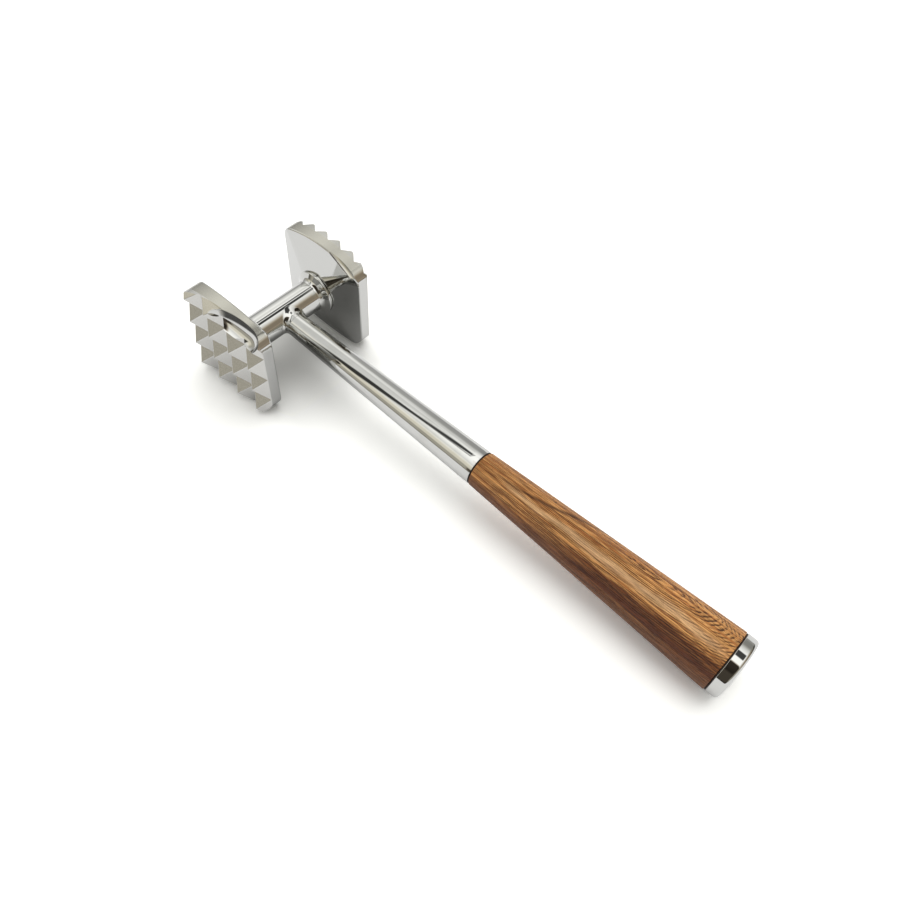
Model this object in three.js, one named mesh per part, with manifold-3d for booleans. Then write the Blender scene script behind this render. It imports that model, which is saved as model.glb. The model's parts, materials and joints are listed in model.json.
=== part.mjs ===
// Meat mallet: two toothed faces on a crossbar, a tapered steel shaft, a wooden grip and an end cap.
// Millimetres. The mallet is drawn with its handle axis along +X and its crossbar along Y, and is
// then tilted so that the lower edges of both faces and the butt of the grip lie on the ground.
import * as THREE from 'three';
import { mergeVertices } from 'three/addons/utils/BufferGeometryUtils.js';
import Module from 'manifold-3d';

const wasm = await Module();
wasm.setup();

// Fits and resolution
const clearance = 0.3;
const overrun = 2;
const roundSides = 48;
const boreSides = 24;
const arcSteps = 5;
const hexSides = 6;

// Both faces: outline, and the flat middle of the roof-shaped back
const faceWidth = 50;
const faceHeight = 51.6;
const faceCrown = 2;
const faceCornerRadius = 8;
const backFlat = 8;

// Coarse face, on the -Y side: its back rises from the rim to the flat middle, and the margins run
// from the outermost tooth tips to the edges of the face, where the teeth still have the edge height
const coarse = {
  backRise: 5,
  rim: 5.2,
  toothHeight: 5.5,
  teethAcross: 4,
  marginAcross: 5.5,
  teethUp: 4,
  marginUp: 5.25,
  edgeHeightUp: 0,
};

// Fine face, on the +Y side: its top and bottom rows run out over the crowned edges
const fine = {
  backRise: 4.7,
  rim: 4.9,
  toothHeight: 3.7,
  teethAcross: 6,
  marginAcross: 4,
  teethUp: 7,
  marginUp: 0.6,
  edgeHeightUp: 3.2,
};

// Scooped upper corner of each face: a round-nosed groove along the coarse front's top edge, and a
// slanting groove, given where it passes the quarter line of the face, in the fine face's back
const coarseScoop = { radius: 5, noseStart: -2, depth: 3, belowEdge: 0.7 };
const fineScoop = { radius: 4, acrossAt: 12, beforeRim: 2.4, aboveEdge: 1.3, lean: -0.334, turn: -0.133 };

// Hub on the back of each face, under the flared collar
const hubRadius = 10.4;
const hubInPlate = 4;

// Crossbar barrel, and the collar at each end of it that flares out to the back of a face
const barrelRadius = 7.6;
const barrelWall = 2;
const barrelHalfLength = 15.8;
const collarLength = 3.8;
const collarRimRadius = 11.1;
const collarRimEdge = 0.3;
const collarCove = 2.3;
const collarFlare = 1;

// Stud that ties the two faces together through the barrel
const studRadius = 3;
const studCover = 3.2;
const bossLength = 6.8;

// Shaft
const shaftRootRadius = 5.35;
const shaftEndRadius = 7.9;
const shaftEnd = 120;
const neckRadius = 4.4;
const neckInShaft = 6;
const rodDepthInShaft = 22;

// Coved ring at the root of the shaft, saddled on the barrel
const rootRingRadius = 7;
const rootRingLip = 0.3;
const rootRingRise = 2;

// Grip with the seams at its two ends
const seamThickness = 0.4;
const seamInset = 0.3;
const gripLength = 117;
const gripEndRadius = 13;
const gripEdgeRound = 0.4;
const pocketRadius = 7.5;
const pocketDepth = 14;

// Tang rod with its washers and nut
const rodRadius = 3;
const rodDepthInCap = 2.2;
const washerRadius = 7;
const washerThickness = 1.2;
const springWasherRadius = 5.6;
const springWasherThickness = 1.4;
const springWasherSplit = 1;
const nutAcrossFlats = 10;
const nutThickness = 5;

// End cap
const capSideLength = 3.1;
const capEndRadius = 12.9;
const capRimRound = 1.6;
const capDome = 0.5;
const capFlatRadius = 8;
const capBossRadius = 5;

// Places that follow from the sizes
const barrelBore = barrelRadius - barrelWall;
const plugRadius = barrelBore - clearance;
const studHole = studRadius + clearance;
const rodHole = rodRadius + clearance;
const collarStart = barrelHalfLength + clearance;
const collarEnd = collarStart + collarLength;
const hubStart = collarEnd + clearance;
const bossStart = barrelHalfLength - bossLength;
const rimStart = (face) => hubStart + face.backRise;
const rootPlane = (face) => rimStart(face) + face.rim;
const gripStart = shaftEnd + seamThickness + 2 * clearance;
const gripEnd = gripStart + gripLength;
const capStart = gripEnd + seamThickness + 2 * clearance;
const pocketFloor = gripEnd - pocketDepth;
const washerStart = pocketFloor + clearance;
const springStart = washerStart + washerThickness + clearance;
const nutStart = springStart + springWasherThickness + clearance;
const capBossStart = nutStart + nutThickness + clearance;
const rodStart = shaftEnd - rodDepthInShaft;
const rodEnd = capStart + rodDepthInCap;
const shaftSlope = (shaftEndRadius - shaftRootRadius) / (shaftEnd - barrelRadius);
const shaftRadiusAt = (x) => shaftRootRadius + shaftSlope * (x - barrelRadius);

const steel = (name, color, roughness) =>
  new THREE.MeshStandardMaterial({ name, color, roughness, metalness: 1 });
const chrome = () => steel('chrome', 0xd8d9d6, 0.08);
const satinSteel = () => steel('satin_steel', 0xb9b8b2, 0.32);
const plainSteel = () => steel('plain_steel', 0x9b9d9f, 0.4);
const oiledWood = () =>
  new THREE.MeshStandardMaterial({ name: 'grip_wood', color: 0xb07a45, roughness: 0.5, metalness: 0 });
const darkFibre = () =>
  new THREE.MeshStandardMaterial({ name: 'seam_fibre', color: 0x1b1410, roughness: 0.8, metalness: 0 });

// A closed geometry as a solid: shared vertices merged, slivers at the poles dropped
function solidOf(geometry) {
  const bare = geometry.clone();
  bare.deleteAttribute('normal');
  bare.deleteAttribute('uv');
  const merged = mergeVertices(bare);
  const corners = merged.index.array;
  const kept = [];
  for (let i = 0; i < corners.length; i += 3) {
    const [a, b, c] = corners.slice(i, i + 3);
    if (a !== b && b !== c && a !== c) kept.push(a, b, c);
  }
  return new wasm.Manifold(new wasm.Mesh({
    numProp: 3,
    vertProperties: new Float32Array(merged.attributes.position.array),
    triVerts: new Uint32Array(kept),
  }));
}

function geometryOf(solid) {
  const mesh = solid.getMesh();
  const geometry = new THREE.BufferGeometry();
  geometry.setAttribute('position', new THREE.BufferAttribute(mesh.vertProperties, 3));
  geometry.setIndex(new THREE.BufferAttribute(mesh.triVerts, 1));
  geometry.computeVertexNormals();
  return geometry;
}

// Profiles are lists of [radius, place along the axis], from the low end to the high end
const turnedOnY = (profile, sides = roundSides) =>
  new THREE.LatheGeometry(profile.map(([radius, place]) => new THREE.Vector2(radius, place)), sides);
const turnedOnX = (profile, sides = roundSides) => turnedOnY(profile, sides).rotateZ(-Math.PI / 2);
const rodProfile = (radius, from, to) => [[0, from], [radius, from], [radius, to], [0, to]];
const ringProfile = (inner, outer, from, to) =>
  [[inner, from], [outer, from], [outer, to], [inner, to], [inner, from]];

function arcPoints(centreX, centreY, radius, startAngle, sweep, steps = arcSteps) {
  return Array.from({ length: steps + 1 }, (_, i) => {
    const angle = startAngle + (sweep * i) / steps;
    return [centreX + radius * Math.cos(angle), centreY + radius * Math.sin(angle)];
  });
}

// One direction of a toothed plate in section: ridged front, roof-shaped back, y positive outwards
function toothSection(halfSize, teeth, margin, edgeHeight, face) {
  const pitch = 2 * (halfSize - margin) / (teeth - 1);
  const root = rootPlane(face);
  const section = new THREE.Shape();
  section.moveTo(-halfSize, rimStart(face));
  section.lineTo(-halfSize, root + edgeHeight);
  for (let i = 0; i < teeth; i += 1) {
    const tip = (i - (teeth - 1) / 2) * pitch;
    section.lineTo(tip, root + face.toothHeight);
    if (i < teeth - 1) section.lineTo(tip + pitch / 2, root);
  }
  section.lineTo(halfSize, root + edgeHeight);
  section.lineTo(halfSize, rimStart(face));
  section.lineTo(backFlat, hubStart);
  section.lineTo(-backFlat, hubStart);
  return section;
}

// Outline of a face: straight flanks, and crown arcs above and below that run into round corners
function faceOutline() {
  const inner = faceWidth / 2 - faceCornerRadius;
  const crownRadius = (inner ** 2 + faceCrown ** 2) / (2 * faceCrown);
  const crownCentre = faceHeight / 2 - crownRadius;
  const shoulder = crownCentre + Math.sqrt((crownRadius - faceCornerRadius) ** 2 - inner ** 2);
  const cornerSweep = Math.atan2(shoulder - crownCentre, inner);
  const crownSweep = Math.PI - 2 * cornerSweep;
  const upper = [
    ...arcPoints(inner, shoulder, faceCornerRadius, 0, cornerSweep),
    ...arcPoints(0, crownCentre, crownRadius, cornerSweep, crownSweep, 2 * arcSteps).slice(1, -1),
    ...arcPoints(-inner, shoulder, faceCornerRadius, Math.PI - cornerSweep, cornerSweep),
  ];
  const lower = upper.map(([x, z]) => [-x, -z]);
  return new THREE.Shape([...upper, ...lower].map(([x, z]) => new THREE.Vector2(x, z)));
}

const extruded = (shape, depth) =>
  new THREE.ExtrudeGeometry(shape, { depth, bevelEnabled: false, steps: 1 }).translate(0, 0, -depth / 2);

// Ridges across and ridges upward meet as pyramids; the outline trims them
function toothedPlate(face) {
  const reach = 2 * Math.max(faceWidth, faceHeight);
  const { teethAcross, marginAcross, teethUp, marginUp, edgeHeightUp } = face;
  const sectionAcross = toothSection(faceWidth / 2, teethAcross, marginAcross, 0, face);
  const sectionUp = toothSection(faceHeight / 2, teethUp, marginUp, edgeHeightUp, face);
  const across = extruded(sectionAcross, reach);
  const up = extruded(sectionUp, reach).rotateY(-Math.PI / 2);
  const outline = extruded(faceOutline(), reach).rotateX(Math.PI / 2);
  return solidOf(across).intersect(solidOf(up)).intersect(solidOf(outline));
}

// Boss that plugs the barrel, then a round hub that meets the back of the plate
function hub() {
  const inPlate = hubStart + hubInPlate;
  return solidOf(turnedOnY([
    [0, bossStart], [plugRadius, bossStart], [plugRadius, hubStart],
    [hubRadius, hubStart], [hubRadius, inPlate], [0, inPlate],
  ]));
}

// Round-nosed cutter lying along +X under the top edge of the coarse front
function coarseScoopTool() {
  const { radius, noseStart, depth, belowEdge } = coarseScoop;
  const nose = arcPoints(noseStart + radius, 0, radius, Math.PI, -Math.PI / 2)
    .map(([along, out]) => [out, along]);
  const beyond = faceWidth / 2 + overrun;
  return solidOf(turnedOnX([...nose, [radius, beyond], [0, beyond]])
    .translate(0, depth - radius - rootPlane(coarse), faceHeight / 2 - belowEdge));
}

// Slanting cutter that grazes the top edge of the fine face's back and leaves at its corner
function fineScoopTool() {
  const { radius, acrossAt, beforeRim, aboveEdge, lean, turn } = fineScoop;
  return solidOf(turnedOnX(rodProfile(radius, -faceWidth, faceWidth))
    .rotateZ(turn)
    .rotateY(-lean)
    .translate(acrossAt, rimStart(fine) - beforeRim, faceHeight / 2 + aboveEdge));
}

// Both faces are drawn outwards along +Y and lose their stud hole; the coarse one is then turned round
function facePlate(face) {
  const studBore = solidOf(turnedOnY(
    rodProfile(studHole, bossStart - overrun, rootPlane(face) - studCover), boreSides));
  return toothedPlate(face).add(hub()).subtract(studBore);
}
const coarsePlate = () =>
  geometryOf(facePlate(coarse).rotate([0, 0, 180]).subtract(coarseScoopTool()));
const finePlate = () => geometryOf(facePlate(fine).subtract(fineScoopTool()));

function barrel() {
  const tube = ringProfile(barrelBore, barrelRadius, -barrelHalfLength, barrelHalfLength);
  const neckHole = rodProfile(neckRadius + clearance, 0, barrelRadius + overrun);
  return geometryOf(solidOf(turnedOnY(tube)).subtract(solidOf(turnedOnX(neckHole, boreSides))));
}

// Collar that leaves the barrel in a tight cove and flares in a straight cone to its rim
function flaredCollar() {
  const coveCentre = barrelRadius + collarCove;
  const cove = arcPoints(collarStart, coveCentre, collarCove, -Math.PI / 2, collarFlare)
    .map(([along, out]) => [out, along]);
  return turnedOnY([
    [barrelBore, collarStart], ...cove,
    [collarRimRadius, collarEnd - collarRimEdge], [collarRimRadius, collarEnd],
    [barrelBore, collarEnd], [barrelBore, collarStart],
  ]);
}

const tieStud = () => turnedOnY(rodProfile(
  studRadius,
  studCover + clearance - rootPlane(coarse),
  rootPlane(fine) - studCover - clearance,
), boreSides);
const spacerSleeve = () => turnedOnY(ringProfile(
  studHole, plugRadius, neckRadius + clearance, bossStart - clearance), boreSides);

// Tapered shaft, saddled on the barrel, with a neck inside it that the tie stud passes through
function shaft() {
  const saddle = turnedOnY(rodProfile(barrelRadius + clearance, -barrelHalfLength, barrelHalfLength));
  const body = solidOf(turnedOnX([
    [0, 0], [shaftRadiusAt(0), 0], [shaftEndRadius, shaftEnd], [0, shaftEnd],
  ])).subtract(solidOf(saddle));
  const neck = solidOf(turnedOnX(rodProfile(neckRadius, 0, barrelRadius + neckInShaft)));
  const tail = solidOf(turnedOnX(rodProfile(neckRadius, -barrelRadius, neckRadius)))
    .intersect(solidOf(turnedOnY(rodProfile(plugRadius, -barrelRadius, barrelRadius))));
  const eye = turnedOnY(rodProfile(studHole, -barrelRadius, barrelRadius), boreSides);
  const rodBore = turnedOnX(rodProfile(rodHole, rodStart - clearance, shaftEnd + overrun), boreSides);
  return geometryOf(body.add(neck).add(tail).subtract(solidOf(eye)).subtract(solidOf(rodBore)));
}

// Coved ring round the root of the shaft: the foot of its cove drops with the barrel's roundness
function rootRing() {
  const seat = barrelRadius + clearance;
  const foot = seat + rootRingLip;
  const top = barrelRadius + rootRingRise;
  const inner = shaftRadiusAt(top) + clearance;
  const cove = [];
  for (let i = 0; i <= arcSteps; i += 1) {
    const turn = (i / arcSteps) * (Math.PI / 2);
    cove.push([
      rootRingRadius - (rootRingRadius - inner - rootRingLip) * Math.sin(turn),
      foot + (top - foot) * (1 - Math.cos(turn)),
    ]);
  }
  const ring = turnedOnX([
    [inner, barrelBore], [rootRingRadius, barrelBore], ...cove, [inner, top], [inner, barrelBore],
  ]);
  const place = ring.attributes.position;
  for (let i = 0; i < place.count; i += 1) {
    const drop = foot - Math.sqrt(foot ** 2 - place.getZ(i) ** 2);
    const share = Math.min(1, (top - place.getX(i)) / (top - foot));
    place.setX(i, place.getX(i) - drop * share);
  }
  const saddle = turnedOnY(rodProfile(seat, -barrelHalfLength, barrelHalfLength));
  return geometryOf(solidOf(ring).subtract(solidOf(saddle)));
}

const seamWasher = (inner, outer, from) => turnedOnX(ringProfile(
  inner, outer - seamInset, from + clearance, from + clearance + seamThickness));

// Turned grip, bored for the rod, with a pocket for the nut at its butt
function grip() {
  return turnedOnX([
    [rodHole, gripStart],
    [shaftEndRadius - gripEdgeRound, gripStart],
    [shaftEndRadius, gripStart + gripEdgeRound],
    [gripEndRadius, gripEnd - gripEdgeRound],
    [gripEndRadius - gripEdgeRound, gripEnd],
    [pocketRadius, gripEnd],
    [pocketRadius, pocketFloor],
    [rodHole, pocketFloor],
    [rodHole, gripStart],
  ]);
}

const tangRod = () => turnedOnX(rodProfile(rodRadius, rodStart, rodEnd), boreSides);
const flatWasher = () => turnedOnX(ringProfile(
  rodHole, washerRadius, washerStart, washerStart + washerThickness), boreSides);

function springWasher() {
  const ring = turnedOnX(ringProfile(
    rodHole, springWasherRadius, springStart, springStart + springWasherThickness), boreSides);
  const split = new THREE.BoxGeometry(
    springWasherThickness + overrun, springWasherSplit, springWasherRadius + overrun)
    .translate(springStart + springWasherThickness / 2, 0, (springWasherRadius + overrun) / 2);
  return geometryOf(solidOf(ring).subtract(solidOf(split)));
}

function hexNut() {
  const cornerRadius = nutAcrossFlats / 2 / Math.cos(Math.PI / hexSides);
  const hex = new THREE.Shape(arcPoints(0, 0, cornerRadius, 0, 2 * Math.PI, hexSides)
    .slice(0, hexSides).map(([x, y]) => new THREE.Vector2(x, y)));
  const body = extruded(hex, nutThickness).rotateY(Math.PI / 2)
    .translate(nutStart + nutThickness / 2, 0, 0);
  const bore = turnedOnX(rodProfile(
    rodHole, nutStart - overrun, nutStart + nutThickness + overrun), boreSides);
  return geometryOf(solidOf(body).subtract(solidOf(bore)));
}

// Cap with a threaded boss that reaches into the grip's pocket; its end is flat inside a low dome
function endCap() {
  const sideEnd = capStart + capSideLength;
  const rimEnd = sideEnd + capRimRound;
  return turnedOnX([
    [0, rodEnd + clearance],
    [rodHole, rodEnd + clearance],
    [rodHole, capBossStart],
    [capBossRadius, capBossStart],
    [capBossRadius, capStart],
    [gripEndRadius, capStart],
    ...arcPoints(capEndRadius - capRimRound, sideEnd, capRimRound, 0, Math.PI / 2),
    [capFlatRadius, rimEnd + capDome],
    [0, rimEnd + capDome],
  ]);
}

function mesh(name, geometry, material) {
  const piece = new THREE.Mesh(geometry, material);
  piece.name = name;
  return piece;
}

// Everything that moves as one rigid tool, drawn about the handle axis
const head = new THREE.Group();
const coarseFace = mesh('coarse_face_plate', coarsePlate(), satinSteel());
const fineFace = mesh('fine_face_plate', finePlate(), satinSteel());
const farCollar = mesh('fine_side_flared_collar', flaredCollar(), chrome());
const nearCollar = mesh('coarse_side_flared_collar', flaredCollar(), chrome());
const farSleeve = mesh('fine_side_spacer_sleeve', spacerSleeve(), plainSteel());
const nearSleeve = mesh('coarse_side_spacer_sleeve', spacerSleeve(), plainSteel());
nearCollar.rotation.z = Math.PI;
nearSleeve.rotation.z = Math.PI;
head.add(
  coarseFace, fineFace, nearCollar, farCollar, nearSleeve, farSleeve,
  mesh('crossbar_barrel', barrel(), chrome()),
  mesh('crossbar_tie_stud', tieStud(), plainSteel()),
);

const handle = new THREE.Group();
const wood = mesh('wood_grip', grip(), oiledWood());
const cap = mesh('end_cap', endCap(), chrome());
handle.add(
  wood, cap,
  mesh('tapered_shaft', shaft(), chrome()),
  mesh('shaft_root_ring', rootRing(), chrome()),
  mesh('shaft_seam_washer', seamWasher(rodHole, shaftEndRadius, shaftEnd), darkFibre()),
  mesh('cap_seam_washer', seamWasher(pocketRadius, gripEndRadius, gripEnd), darkFibre()),
  mesh('tang_rod', tangRod(), plainSteel()),
  mesh('grip_flat_washer', flatWasher(), plainSteel()),
  mesh('grip_spring_washer', springWasher(), plainSteel()),
  mesh('grip_nut', hexNut(), plainSteel()),
);

// Lowest point of some meshes once the handle is tipped down by an angle
function lowestPoint(meshes, tip) {
  let lowest = Infinity;
  for (const { geometry } of meshes) {
    const { array } = geometry.attributes.position;
    for (let i = 0; i < array.length; i += 3) {
      lowest = Math.min(lowest, array[i + 2] * Math.cos(tip) - array[i] * Math.sin(tip));
    }
  }
  return lowest;
}

// The tip at which the faces and the butt of the handle touch the ground together
function restingTip() {
  let low = 0;
  let high = Math.PI / 8;
  for (let i = 0; i < 40; i += 1) {
    const middle = (low + high) / 2;
    const headIsLower = lowestPoint([coarseFace, fineFace], middle) < lowestPoint([wood, cap], middle);
    if (headIsLower) low = middle;
    else high = middle;
  }
  return low;
}

const tipped = new THREE.Group();
tipped.add(head, handle);
tipped.rotation.y = restingTip();
const mallet = new THREE.Group();
mallet.add(tipped);
mallet.updateMatrixWorld(true);
const box = new THREE.Box3().setFromObject(mallet, true);
const middle = box.getCenter(new THREE.Vector3());
tipped.position.set(-middle.x, -middle.y, -box.min.z);
mallet.updateMatrixWorld(true);

export default mallet;
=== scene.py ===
import json
import math

import bmesh
import bpy
from mathutils import Matrix, Vector


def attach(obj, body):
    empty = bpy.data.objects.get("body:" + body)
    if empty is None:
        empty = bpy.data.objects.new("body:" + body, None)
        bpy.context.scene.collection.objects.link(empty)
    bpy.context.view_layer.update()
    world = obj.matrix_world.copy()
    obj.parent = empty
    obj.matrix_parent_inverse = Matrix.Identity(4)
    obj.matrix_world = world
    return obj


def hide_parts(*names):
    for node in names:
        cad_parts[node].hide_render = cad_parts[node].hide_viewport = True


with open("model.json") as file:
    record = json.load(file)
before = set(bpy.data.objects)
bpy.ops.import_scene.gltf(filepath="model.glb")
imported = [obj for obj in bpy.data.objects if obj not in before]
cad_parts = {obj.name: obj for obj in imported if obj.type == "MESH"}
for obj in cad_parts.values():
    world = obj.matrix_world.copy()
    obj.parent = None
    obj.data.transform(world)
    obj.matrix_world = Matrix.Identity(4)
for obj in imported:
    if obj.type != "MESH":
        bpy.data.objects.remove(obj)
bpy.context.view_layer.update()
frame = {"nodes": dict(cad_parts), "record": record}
print("frame loaded:", len(frame["nodes"]), "nodes")

# Every piece is modelled in millimetres with the handle along X and the crossbar along Y,
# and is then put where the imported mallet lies. The cap's mount gives that place.
mounts = {mount["name"]: mount for mount in frame["record"]["mounts"]}
crossbarToCapEnd = 244.2
handleAxis = Vector(mounts["cap_end"]["axis"]).normalized()
handleUp = handleAxis.cross(Vector((0, 1, 0)))
crossing = Vector(mounts["cap_end"]["pos_m"]) - handleAxis * crossbarToCapEnd / 1000
turn = Matrix((handleAxis, (0, 1, 0), handleUp)).transposed().to_4x4()
toolPlace = Matrix.Translation(crossing) @ turn @ Matrix.Scale(0.001, 4)
toolCoords = toolPlace.inverted()


# Camera: the photograph's viewing angle, aimed at a point of the ground
cameraLook = {"azimuth": 41.27, "elevation": 53.45, "roll": 1.44,
              "aim": (-13.78, 10.54, 0), "distance": 374.95, "lens": 33.858}


def addCamera(look):
    camera = bpy.data.objects.new("camera", bpy.data.cameras.new("camera"))
    bpy.context.scene.collection.objects.link(camera)
    camera.data.lens = look["lens"]
    camera.data.clip_start = 0.01
    facing = (Matrix.Rotation(math.radians(look["azimuth"]), 4, "Z")
              @ Matrix.Rotation(math.radians(90 - look["elevation"]), 4, "X")
              @ Matrix.Rotation(math.radians(look["roll"]), 4, "Z"))
    back = facing.to_3x3() @ Vector((0, 0, 1))
    place = (Vector(look["aim"]) + back * look["distance"]) / 1000
    camera.matrix_world = Matrix.Translation(place) @ facing
    bpy.context.scene.camera = camera


# Shader maths: a Wire is an output socket, and sums on wires add Math nodes
class Wire:
    def __init__(self, nodes, socket):
        self.nodes = nodes
        self.socket = socket

    def math(self, operation, *rest):
        values = dict(enumerate((self, *rest)))
        return self.nodes.add("ShaderNodeMath", {"operation": operation}, values)

    def flipped(self, operation, first):
        return self.nodes.add("ShaderNodeMath", {"operation": operation}, {0: first, 1: self})

    def __add__(self, other):
        return self.math("ADD", other)

    def __radd__(self, other):
        return self.math("ADD", other)

    def __sub__(self, other):
        return self.math("SUBTRACT", other)

    def __rsub__(self, other):
        return self.flipped("SUBTRACT", other)

    def __mul__(self, other):
        return self.math("MULTIPLY", other)

    def __rmul__(self, other):
        return self.math("MULTIPLY", other)

    def __truediv__(self, other):
        return self.math("DIVIDE", other)

    def __rtruediv__(self, other):
        return self.flipped("DIVIDE", other)

    def __pow__(self, other):
        return self.math("POWER", other)


class Nodes:
    def __init__(self, tree):
        self.tree = tree
        tree.nodes.clear()

    def add(self, kind, settings=None, values=None, output=0):
        node = self.tree.nodes.new(kind)
        for name, value in (settings or {}).items():
            setattr(node, name, value)
        for name, value in (values or {}).items():
            if isinstance(value, Wire):
                self.tree.links.new(value.socket, node.inputs[name])
            else:
                node.inputs[name].default_value = value
        return Wire(self, node.outputs[output]) if len(node.outputs) else None

    def surface(self, values):
        shader = self.add("ShaderNodeBsdfPrincipled", {}, values)
        self.add("ShaderNodeOutputMaterial", {}, {"Surface": shader})

    # Places in the mallet's own frame, in millimetres
    def toolPoint(self):
        objectPoint = self.add("ShaderNodeTexCoord", output="Object")
        return self.add("ShaderNodeMapping", {}, {
            "Vector": objectPoint, "Location": toolCoords.translation,
            "Rotation": toolCoords.to_euler(), "Scale": toolCoords.to_scale()})

    def split(self, vector):
        parts = self.add("ShaderNodeSeparateXYZ", {}, {0: vector}).socket.node.outputs
        return [Wire(self, socket) for socket in parts]

    def join(self, x, y, z):
        return self.add("ShaderNodeCombineXYZ", {}, {0: x, 1: y, 2: z})

    def stretch(self, vector, factors):
        return self.add("ShaderNodeVectorMath", {"operation": "MULTIPLY"}, {0: vector, 1: factors})

    def noise(self, vector, scale, detail=2, roughness=0.5):
        return self.add("ShaderNodeTexNoise", {}, {
            "Vector": vector, "Scale": scale, "Detail": detail, "Roughness": roughness})

    # 0 below low, 1 above high, smooth between
    def ramp(self, value, low, high):
        return self.add("ShaderNodeMapRange", {"interpolation_type": "SMOOTHSTEP"}, {
            "Value": value, "From Min": low, "From Max": high})

    # 0 up to start, 1 from full to fading, 0 again from end
    def hill(self, value, start, full, fading, end):
        return self.ramp(value, start, full) * (1 - self.ramp(value, fading, end))

    # 1 between low and high, with soft edges
    def band(self, value, low, high, soft):
        return self.hill(value, low - soft, low + soft, high - soft, high + soft)

    # Sockets 6 and 7 of a Mix node are its two colours, and output 2 is the mixed one
    def mix(self, factor, first, second):
        return self.add("ShaderNodeMix", {"data_type": "RGBA"}, {0: factor, 6: first, 7: second}, output=2)

    def bump(self, height, strength, distance):
        return self.add("ShaderNodeBump", {}, {
            "Height": height, "Strength": strength, "Distance": distance})


def newMaterial(name):
    material = bpy.data.materials.new(name)
    material.use_nodes = True
    return material, Nodes(material.node_tree)


# A colour as a screen shows it, 0 to 255, in Blender's linear values
def linear(red, green, blue):
    return tuple(((value / 255 + 0.055) / 1.055) ** 2.4 for value in (red, green, blue)) + (1,)


def chromeMaterial():
    look = {"clean": linear(210, 210, 207), "dull": linear(203, 203, 199),
            "roughness": 0.025, "smearRoughness": 0.02}
    material, nodes = newMaterial("mirror_chrome")
    smear = nodes.ramp(nodes.noise(nodes.toolPoint(), scale=0.09, detail=4, roughness=0.6), 0.35, 0.75)
    nodes.surface({
        "Base Color": nodes.mix(smear, look["clean"], look["dull"]),
        "Metallic": 1,
        "Roughness": look["roughness"] + look["smearRoughness"] * smear})
    return material


def machinedSteelMaterial():
    look = {"light": linear(186, 188, 190), "dark": linear(140, 142, 146),
            "roughness": 0.3, "lineRoughness": 0.15, "stretch": (9, 0.4, 0.4)}
    material, nodes = newMaterial("machined_steel")
    turnedPoint = nodes.stretch(nodes.toolPoint(), look["stretch"])
    lines = nodes.noise(turnedPoint, scale=1, detail=3, roughness=0.6)
    nodes.surface({
        "Base Color": nodes.mix(lines, look["dark"], look["light"]),
        "Metallic": 1,
        "Roughness": look["roughness"] + look["lineRoughness"] * lines,
        "Normal": nodes.bump(lines, strength=0.1, distance=0.0001)})
    return material


def fibreMaterial():
    look = {"dark": linear(22, 14, 10), "light": linear(58, 38, 26), "roughness": 0.7}
    material, nodes = newMaterial("dark_fibre")
    fleck = nodes.noise(nodes.toolPoint(), scale=4, detail=4, roughness=0.7)
    nodes.surface({
        "Base Color": nodes.mix(fleck, look["dark"], look["light"]),
        "Roughness": look["roughness"],
        "Normal": nodes.bump(fleck, strength=0.3, distance=0.0001)})
    return material


# A turned shape: points are (place along the axis, radius), rounds are {point number: corner radius}
def turned(points, rounds, axis, sides=128, roundSteps=6):
    mesh = bmesh.new()
    if axis == "X":
        corners = [mesh.verts.new((place, 0, radius)) for place, radius in points]
    else:
        corners = [mesh.verts.new((radius, place, 0)) for place, radius in points]
    for first, second in zip(corners, corners[1:]):
        mesh.edges.new((first, second))
    for number, size in rounds.items():
        bmesh.ops.bevel(mesh, geom=[corners[number]], offset=size, segments=roundSteps,
                        profile=0.5, affect="VERTICES", material=-1)
    bmesh.ops.spin(mesh, geom=mesh.verts[:] + mesh.edges[:], cent=(0, 0, 0),
                   axis=(1, 0, 0) if axis == "X" else (0, 1, 0), dvec=(0, 0, 0),
                   angle=2 * math.pi, steps=sides, use_merge=True, use_duplicate=False)
    bmesh.ops.remove_doubles(mesh, verts=mesh.verts, dist=0.0005)
    bmesh.ops.recalc_face_normals(mesh, faces=mesh.faces)
    return mesh


# A plain rod, to cut with or to join on
def rod(start, end, radius, axis, sides):
    return turned([(start, 0), (start, radius), (end, radius), (end, 0)], {}, axis, sides)


# A tube whose two outer edges are rounded
def tube(start, end, inner, outer, edgeRound, axis, sides, roundSteps=6):
    points = [(start, inner), (start, outer), (end, outer), (end, inner), (start, inner)]
    return turned(points, {1: edgeRound, 2: edgeRound}, axis, sides, roundSteps)


def shapeFrom(mesh, name):
    data = bpy.data.meshes.new(name)
    mesh.to_mesh(data)
    mesh.free()
    shape = bpy.data.objects.new(name, data)
    bpy.context.scene.collection.objects.link(shape)
    return shape


# Joins a tool to a shape, cuts it out or keeps what the two share; the tool is used up
def combine(shape, toolMesh, operation):
    tool = shapeFrom(toolMesh, "tool")
    boolean = shape.modifiers.new("combine", "BOOLEAN")
    boolean.operation = operation
    boolean.solver = "MANIFOLD"
    boolean.object = tool
    evaluated = shape.evaluated_get(bpy.context.evaluated_depsgraph_get())
    data = bpy.data.meshes.new_from_object(evaluated)
    shape.modifiers.clear()
    shape.data = data
    bpy.data.objects.remove(tool)


# Puts a piece in its place, dresses it and hides the imported node it stands for
def finishPiece(shape, material, nodeName):
    sharpFrom = math.radians(30)
    shape.data.transform(toolPlace)
    shape.data.materials.clear()
    shape.data.materials.append(material)
    shape.data.polygons.foreach_set("use_smooth", [True] * len(shape.data.polygons))
    shape.data.set_sharp_from_angle(angle=sharpFrom)
    weighted = shape.modifiers.new("even_shading", "WEIGHTED_NORMAL")
    weighted.keep_sharp = True
    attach(shape, "root")
    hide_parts(nodeName)


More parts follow.
